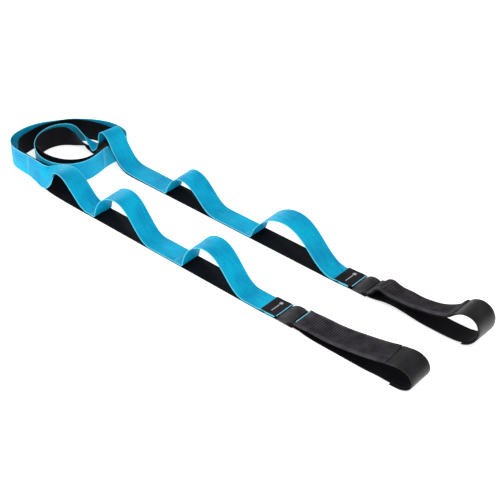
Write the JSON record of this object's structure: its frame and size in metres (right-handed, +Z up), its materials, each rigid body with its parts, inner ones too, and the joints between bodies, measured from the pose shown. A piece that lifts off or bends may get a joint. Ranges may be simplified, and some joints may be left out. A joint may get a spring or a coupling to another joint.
{
  "type": "multi-loop stretching strap",
  "caption": "Long two-layer webbing strap, partly coiled, with raised loops along its upper side and a padded hand loop at each end, for assisted stretching.",
  "frame": {"origin": "centre of the footprint on the floor, under the strap", "axes": "+X along the two straight runs towards the handles, +Y from the near run to the far run, +Z up from the floor"},
  "size_m": [0.9012, 0.192, 0.0619],
  "materials": {
    "base_webbing": "matt black nylon webbing with fine ribs across it",
    "loop_webbing": "satin blue polyester webbing with a bright edge line",
    "stitching": "pale blue thread",
    "label": "woven black satin label with a plain white woven mark",
    "keeper": "smooth black elastic sleeve",
    "handle_webbing": "matt black nylon webbing",
    "grip_pad": "black cushion pad with ribs across it",
    "tip_wrap": "smooth black satin binding"
  },
  "bodies": {
    "coil": {"base_webbing_03": "base_webbing", "base_webbing_04": "base_webbing", "base_webbing_05": "base_webbing", "base_webbing_06": "base_webbing", "base_webbing_07": "base_webbing", "base_webbing_08": "base_webbing", "loop_webbing_03": "loop_webbing", "loop_webbing_04": "loop_webbing", "loop_webbing_05": "loop_webbing", "loop_webbing_06": "loop_webbing", "loop_webbing_07": "loop_webbing", "loop_webbing_08": "loop_webbing", "seam_stitch_02": "stitching", "seam_stitch_03": "stitching", "seam_stitch_04": "stitching", "seam_stitch_05": "stitching", "seam_stitch_06": "stitching", "seam_stitch_07": "stitching", "seam_stitch_08": "stitching"},
    "near_mid": {"base_webbing_02": "base_webbing", "loop_webbing_02": "loop_webbing", "seam_stitch_01": "stitching"},
    "near_end": {"base_webbing_01": "base_webbing", "loop_webbing_01": "loop_webbing", "label_near": "label", "label_bar_near": "stitching", "keeper_near": "keeper", "sewn_ends_near": "handle_webbing"},
    "near_handle": {"handle_webbing_near": "handle_webbing", "grip_pad_near": "grip_pad", "grip_bar_near": "stitching", "tip_wrap_near": "tip_wrap"},
    "far_mid": {"base_webbing_09": "base_webbing", "loop_webbing_09": "loop_webbing", "seam_stitch_09": "stitching"},
    "far_end": {"base_webbing_10": "base_webbing", "loop_webbing_10": "loop_webbing", "label_far": "label", "label_bar_far": "stitching", "keeper_far": "keeper", "sewn_ends_far": "handle_webbing"},
    "far_handle": {"handle_webbing_far": "handle_webbing", "grip_pad_far": "grip_pad", "tip_wrap_far": "tip_wrap"}
  },
  "joints": [
    {"name": "near_seam_2_bend", "type": "hinge", "parent": "coil", "child": "near_mid", "pos_m": [-0.19209, -0.07506, 0.00101], "axis": [0, -1, 0], "range_deg": [-45, 45]},
    {"name": "near_seam_1_bend", "type": "hinge", "parent": "near_mid", "child": "near_end", "pos_m": [-0.00209, -0.07506, 0.00101], "axis": [0, -1, 0], "range_deg": [-45, 45]},
    {"name": "near_handle_bend", "type": "hinge", "parent": "near_end", "child": "near_handle", "pos_m": [0.22891, -0.07506, 0.01106], "axis": [0, -1, 0], "range_deg": [-30, 45]},
    {"name": "far_seam_8_bend", "type": "hinge", "parent": "coil", "child": "far_mid", "pos_m": [-0.15809, 0.05094, 0.00101], "axis": [0, -1, 0], "range_deg": [-45, 45]},
    {"name": "far_seam_9_bend", "type": "hinge", "parent": "far_mid", "child": "far_end", "pos_m": [0.03191, 0.05094, 0.00101], "axis": [0, -1, 0], "range_deg": [-45, 45]},
    {"name": "far_handle_bend", "type": "hinge", "parent": "far_end", "child": "far_handle", "pos_m": [0.26291, 0.05094, 0.01106], "axis": [0, -1, 0], "range_deg": [-30, 45]}
  ]
}
